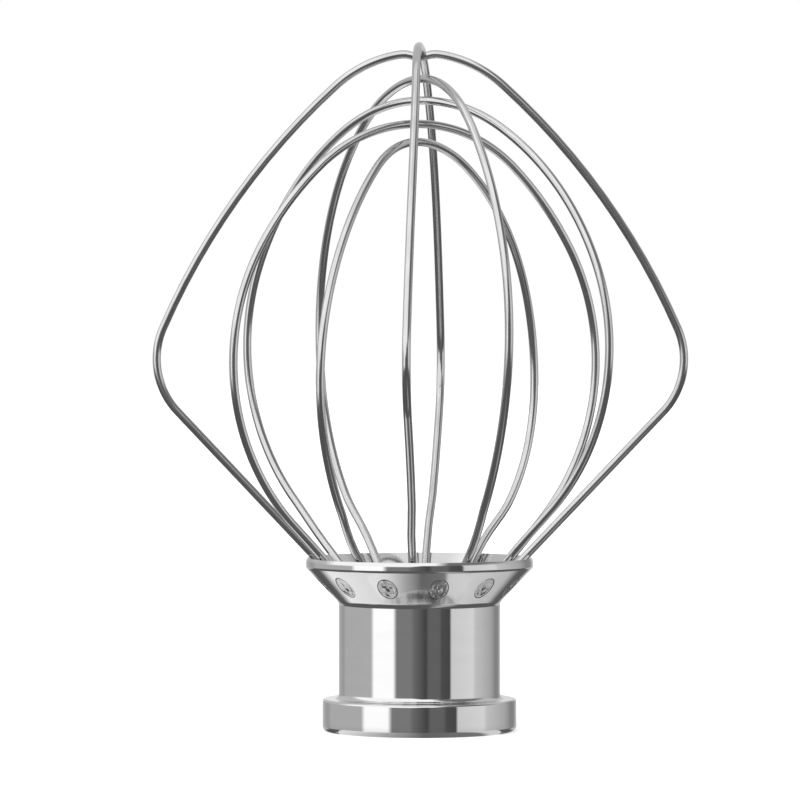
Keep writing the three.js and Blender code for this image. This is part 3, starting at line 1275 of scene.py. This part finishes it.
def disc(radius: float) -> bmesh.types.BMesh:
    """Make a flat round sheet about the origin.

    Args:
        radius: Its radius.

    Returns:
        The mesh.
    """
    bm = bmesh.new()
    bmesh.ops.create_circle(bm, cap_ends=True, segments=96, radius=radius)
    return bm


class LightSheet(NodeSheet):
    """The node tree of something that the metal mirrors, in the screen greys that the metal shows."""

    def __init__(self, owner: bpy.types.Material | bpy.types.World, steel_grey: float) -> None:
        """Empty the owner's node tree.

        Args:
            owner: The material or the world that the nodes are for.
            steel_grey: The share of the light that the metal sends back.
        """
        super().__init__(owner)
        self.steel_grey = steel_grey

    def colour(self, grey: float) -> tuple[float, float, float, float]:
        """Return the colour that the metal shows as a screen grey."""
        level = linear(grey) / self.steel_grey
        return (level, level, level, 1.0)

    def over(self, value: bpy.types.NodeSocket, span: Span) -> bpy.types.NodeSocket:
        """Rise from 0 at a span's start to 1 at its end.

        Args:
            value: The value that crosses the span.
            span: The span. It may run downwards.

        Returns:
            The result's socket.
        """
        gone = self.maths("SUBTRACT", value, span.start)
        return self.maths("DIVIDE", gone, span.end - span.start, clamp=True)

    def ramp(self, value: bpy.types.NodeSocket, panels: Sequence[Panel], span: Span) -> bpy.types.NodeSocket:
        """Show a row of panels.

        Args:
            value: The value that picks the place in the row.
            panels: The panels, in order.
            span: The values at the row's two ends.

        Returns:
            The colour's socket.
        """
        node = self.add("ShaderNodeValToRGB")
        stops = node.color_ramp.elements
        wanted = [stop for p in panels for stop in ((p.start, p.start_grey), (p.end, p.end_grey))]
        for index, (reached, grey) in enumerate(wanted):
            place = (reached - span.start) / (span.end - span.start)
            stop = stops[index] if index < 2 else stops.new(place)
            stop.position = place
            stop.color = self.colour(grey)
        self.join(self.over(value, span), node.inputs["Fac"])
        return node.outputs["Color"]

    def mixed(self, share: bpy.types.NodeSocket, first: bpy.types.NodeSocket | float,
              second: bpy.types.NodeSocket | float) -> bpy.types.NodeSocket:
        """Mix two colours.

        Args:
            share: The second colour's share.
            first: A colour's socket or a screen grey.
            second: The same.

        Returns:
            The mixture's socket.
        """
        node = self.add("ShaderNodeMix", data_type="RGBA")
        self.join(share, node.inputs[0])
        for socket, value in ((node.inputs[6], first), (node.inputs[7], second)):
            if isinstance(value, float):
                socket.default_value = self.colour(value)
            else:
                self.join(value, socket)
        return node.outputs[2]


class Room(LightSheet):
    """The world's node tree, with the way in which the metal looks as the camera stands to it."""

    def __init__(self, world: bpy.types.World, steel_grey: float, azimuth: float) -> None:
        """Start an empty room.

        Args:
            world: The world.
            steel_grey: The share of the light that the metal sends back.
            azimuth: The camera's turn about Z, in degrees.
        """
        super().__init__(world, steel_grey)
        turn = self.add("ShaderNodeVectorRotate", rotation_type="Z_AXIS")
        turn.inputs["Angle"].default_value = -math.radians(azimuth)
        self.join(self.add("ShaderNodeTexCoord").outputs["Generated"], turn.inputs["Vector"])
        split = self.add("ShaderNodeSeparateXYZ")
        self.join(turn.outputs["Vector"], split.inputs["Vector"])
        self.right = split.outputs["X"]
        self.away = split.outputs["Y"]
        self.up = split.outputs["Z"]
        self.near = self.maths("MULTIPLY", self.away, -1.0)

    def bearing(self) -> bpy.types.NodeSocket:
        """Return the way's turn from the camera to the right, in degrees."""
        return self.maths("DEGREES", self.maths("ARCTAN2", self.right, self.near))

    def lean(self) -> bpy.types.NodeSocket:
        """Measure how far the way leans from straight down.

        Returns:
            The angle's socket, in degrees, below 0 on the left.
        """
        down = self.maths("MULTIPLY", self.up, -1.0, clamp=True)
        lean = self.maths("DEGREES", self.maths("ARCCOSINE", down))
        return self.maths("MULTIPLY", lean, self.maths("SIGN", self.right))

    def show(self, colour: bpy.types.NodeSocket) -> None:
        """Light the world: a colour for the metal, and white for the camera.

        Args:
            colour: The colour's socket.
        """
        mirrored = self.add("ShaderNodeBackground")
        self.join(colour, mirrored.inputs["Color"])
        white = self.add("ShaderNodeBackground")
        white.inputs["Color"].default_value = (1.0, 1.0, 1.0, 1.0)
        either = self.add("ShaderNodeMixShader")
        self.join(self.add("ShaderNodeLightPath").outputs["Is Camera Ray"], either.inputs["Fac"])
        self.join(mirrored.outputs["Background"], either.inputs[1])
        self.join(white.outputs["Background"], either.inputs[2])
        output = self.add("ShaderNodeOutputWorld")
        self.join(either.outputs["Shader"], output.inputs["Surface"])


@dataclass
class Studio:
    """White ground, the camera, and a room of panels that only the metal sees.

    The room's spans are shares of the way's length: to the right, up, near the camera or away from it.
    """

    azimuth: float = 4.0
    distance: float = 1.25
    camera_height: float = 100.1 * MM
    aim_right: float = -4.65 * MM
    aim_height: float = 79.3 * MM
    view_width: float = 191.7 * MM
    sensor: float = 36.0
    clip: tuple[float, float] = (0.05, 50.0)
    lamp_side: float = 1.2
    lamp_power: float = 9.0
    lamp_place: tuple[float, float, float] = (-0.12, -0.2, 1.4)
    ground_radius: float = 6.0
    ground_paint: float = 0.86
    ground_glow: float = 0.5
    ground_drop: float = 0.02 * MM
    card_radius: float = 33 * MM
    card_edge: float = 12 * MM
    card_drop: float = 0.01 * MM
    steel_grey: float = 0.69
    horizon: Span = Span(-0.18, -0.08)
    front_floor: Span = Span(-0.08, 0.0)
    side_floor: Span = Span(0.56, 0.68)
    dark_floor_grey: float = 0.33
    sheet_near: Span = Span(0.15, 0.3)
    sheet_right: Span = Span(0.2, 0.4)
    sheet_below: Span = Span(-0.02, -0.14)
    sheet_grey: float = 0.62
    ceiling: Span = Span(0.30, 0.46)
    ceiling_grey: float = 0.95
    ceiling_right: Span = Span(0.25, 0.45)
    right_ceiling_grey: float = 0.42
    ceiling_back: Span = Span(0.15, 0.4)
    back_ceiling_grey: float = 0.70
    zenith: Span = Span(0.9, 0.96)
    zenith_grey: float = 0.84
    left_side: Span = Span(0.04, -0.16)
    left_drop: float = 0.25
    walls_span: Span = Span(-180.0, 180.0)      # degrees from the camera to the right
    walls: tuple[Panel, ...] = (
        Panel(-180, -167, 0.80, 0.76),          # light behind, on the left
        Panel(-157, -140, 0.62, 0.57),          # wall behind, on the left
        Panel(-129, -73, 0.65, 0.66),           # left wall
        Panel(-68, -38, 0.99, 0.99),            # strip light
        Panel(-33, -12, 0.46, 0.46),            # left of the camera
        Panel(-8, 9, 0.40, 0.25),               # the camera's own side
        Panel(13, 28, 0.37, 0.37),              # right of the camera
        Panel(32, 44, 0.29, 0.27),              # black flag
        Panel(46, 82, 0.78, 0.82),              # soft box
        Panel(87, 122, 0.74, 0.63),             # right wall
        Panel(138, 151, 0.49, 0.50),            # wall behind, on the right
        Panel(163, 180, 0.68, 0.76),            # light behind, on the right
    )
    floor_span: Span = Span(-90.0, 90.0)        # degrees from straight down to the right
    floor: tuple[Panel, ...] = (
        Panel(-90, -79, 0.77, 0.68),            # far left
        Panel(-73, -62, 0.30, 0.33),            # shade on the left
        Panel(-54, -19, 0.90, 0.82),            # left
        Panel(-9, -3, 0.70, 0.66),              # under the whip, left
        Panel(3, 22, 0.53, 0.58),               # under the whip, right
        Panel(28, 54, 0.78, 0.70),              # right
        Panel(62, 72, 0.34, 0.32),              # shade on the right
        Panel(78, 90, 0.68, 0.84),              # far right
    )
    card_span: Span = Span(-26.0, 26.0)         # millimetres from the whip's axis to the right
    # Greys of the glowing card's painted reflection of the floor: light at the sides, dark in the middle.
    card_reflection_greys: tuple[Panel, ...] = (
        Panel(-26, -19, 0.88, 0.84),            # light left side
        Panel(-9, -3, 0.64, 0.52),              # fading to the middle
        Panel(1, 15, 0.38, 0.44),               # dark middle
        Panel(17, 26, 0.78, 0.80),              # light right side
    )

    def floor_colour(self, room: Room) -> bpy.types.NodeSocket:
        """Lay the room's floor: panels behind, dark in front and at the sides, a sheet on the right.

        Args:
            room: The room.

        Returns:
            The colour's socket.
        """
        colour = room.ramp(room.lean(), self.floor, self.floor_span)
        colour = room.mixed(room.over(room.near, self.front_floor), colour, self.dark_floor_grey)
        sideways = room.maths("ABSOLUTE", room.right)
        colour = room.mixed(room.over(sideways, self.side_floor), colour, self.dark_floor_grey)
        sheet = room.maths("MULTIPLY", room.over(room.near, self.sheet_near),
                           room.over(room.right, self.sheet_right))
        below = room.over(room.maths("ADD", room.up, room.right), self.sheet_below)
        return room.mixed(room.maths("MULTIPLY", sheet, below), colour, self.sheet_grey)

    def ceiling_colour(self, room: Room) -> bpy.types.NodeSocket:
        """Hang the room's ceiling: light in front, dark on the right, less light behind and on top.

        Args:
            room: The room.

        Returns:
            The colour's socket.
        """
        colour = room.mixed(room.over(room.right, self.ceiling_right), self.ceiling_grey,
                            self.right_ceiling_grey)
        colour = room.mixed(room.over(room.away, self.ceiling_back), colour, self.back_ceiling_grey)
        return room.mixed(room.over(room.up, self.zenith), colour, self.zenith_grey)

    def room(self) -> None:
        """Make the room. Its ceiling comes lower on the left."""
        world = bpy.data.worlds.new("studio")
        bpy.context.scene.world = world
        room = Room(world, self.steel_grey, self.azimuth)
        walls = room.ramp(room.bearing(), self.walls, self.walls_span)
        colour = room.mixed(room.over(room.up, self.horizon), self.floor_colour(room), walls)
        lowered = room.maths("MULTIPLY", room.over(room.right, self.left_side), self.left_drop)
        height = room.maths("ADD", room.up, lowered)
        room.show(room.mixed(room.over(height, self.ceiling), colour, self.ceiling_colour(room)))

    def ground(self) -> None:
        """Make the pale floor. It takes the whip's soft shadow and is otherwise white to the camera."""
        ground = to_object("floor", disc(self.ground_radius))
        ground.location.z = -self.ground_drop
        material = bpy.data.materials.new("pale floor")
        sheet = NodeSheet(material)
        paint = sheet.add("ShaderNodeBsdfDiffuse")
        paint.inputs["Color"].default_value = (self.ground_paint, self.ground_paint, self.ground_paint, 1.0)
        glow = sheet.add("ShaderNodeEmission")
        camera_ray = sheet.add("ShaderNodeLightPath").outputs["Is Camera Ray"]
        sheet.join(sheet.maths("MULTIPLY", camera_ray, self.ground_glow), glow.inputs["Strength"])
        both = sheet.add("ShaderNodeAddShader")
        sheet.join(paint.outputs["BSDF"], both.inputs[0])
        sheet.join(glow.outputs["Emission"], both.inputs[1])
        output = sheet.add("ShaderNodeOutputMaterial")
        sheet.join(both.outputs["Shader"], output.inputs["Surface"])
        ground.data.materials.append(material)
        ground.visible_glossy = False

    def card(self) -> None:
        """Lay a glowing card in front of the flange. Only the metal sees it, mostly the cup: it is a painted
        reflection of the floor, light at the sides and darker in the middle.
        """
        bm = disc(self.card_radius)
        bmesh.ops.bisect_plane(bm, geom=bm.verts[:] + bm.edges[:] + bm.faces[:],
                               plane_co=(0, -self.card_edge, 0), plane_no=(0, 1, 0), clear_outer=True)
        card = to_object("card", bm)
        card.location.z = -self.card_drop
        card.rotation_euler.z = math.radians(self.azimuth)
        material = bpy.data.materials.new("painted reflection card")
        sheet = LightSheet(material, self.steel_grey)
        split = sheet.add("ShaderNodeSeparateXYZ")
        sheet.join(sheet.add("ShaderNodeTexCoord").outputs["Object"], split.inputs["Vector"])
        across = sheet.maths("DIVIDE", split.outputs["X"], MM)
        # The card is no lamp: it glows only to paint a reflection into the metal.
        glow = sheet.add("ShaderNodeEmission")
        sheet.join(sheet.ramp(across, self.card_reflection_greys, self.card_span), glow.inputs["Color"])
        output = sheet.add("ShaderNodeOutputMaterial")
        sheet.join(glow.outputs["Emission"], output.inputs["Surface"])
        card.data.materials.append(material)
        card.visible_camera = False
        card.visible_diffuse = False
        card.visible_shadow = False

    def lamp(self) -> None:
        """Hang the soft light that gives the floor its shadow."""
        data = bpy.data.lights.new("overhead", "AREA")
        data.shape = "SQUARE"
        data.size = self.lamp_side
        data.energy = self.lamp_power
        lamp = bpy.data.objects.new("overhead", data)
        lamp.location = self.lamp_place
        lamp.rotation_euler = (-lamp.location).to_track_quat("-Z", "Y").to_euler()
        lamp.visible_glossy = False
        lamp.visible_camera = False
        bpy.context.scene.collection.objects.link(lamp)

    def camera(self) -> None:
        """Set the camera at its height, aimed a little to the left of the whip's axis."""
        turn = math.radians(self.azimuth)
        right = Vector((math.cos(turn), math.sin(turn), 0.0))
        towards = Vector((math.sin(turn), -math.cos(turn), 0.0))
        target = right * self.aim_right + Vector((0.0, 0.0, self.aim_height))
        flat = math.sqrt(self.distance ** 2 - (self.camera_height - self.aim_height) ** 2)
        place = target + towards * flat
        place.z = self.camera_height
        data = bpy.data.cameras.new("camera")
        data.sensor_width = self.sensor
        data.lens = self.sensor * self.distance / self.view_width
        data.clip_start, data.clip_end = self.clip
        camera = bpy.data.objects.new("camera", data)
        camera.location = place
        camera.rotation_mode = "QUATERNION"
        camera.rotation_quaternion = (target - place).to_track_quat("-Z", "Y")
        bpy.context.scene.collection.objects.link(camera)
        bpy.context.scene.camera = camera

    def build(self) -> None:
        """Set the whole studio."""
        bpy.context.scene.view_settings.view_transform = "Standard"
        self.room()
        self.ground()
        self.card()
        self.lamp()
        self.camera()


# ---- the whole ------------------------------------------------------------------------------------


def main() -> None:
    """Build the studio and every piece, in order."""
    logging.basicConfig(level=logging.INFO, format="%(name)s: %(message)s")
    for thing in [t for t in bpy.data.objects if t.type in {"LIGHT", "CAMERA"} or t.name == "Cube"]:
        bpy.data.objects.remove(thing)
    hub = HubSizes()
    pins = ClampPins(hub)
    rack = FinishRack()
    Studio().build()
    HubShell(hub, pins).build(rack)
    pins.build(rack)
    ClampRing(hub, pins).build(rack)
    NeckPieces(hub).build(rack)
    for shape in LOOPS:
        WireLoop(hub, shape).build(rack)


if __name__ == "__main__":
    main()
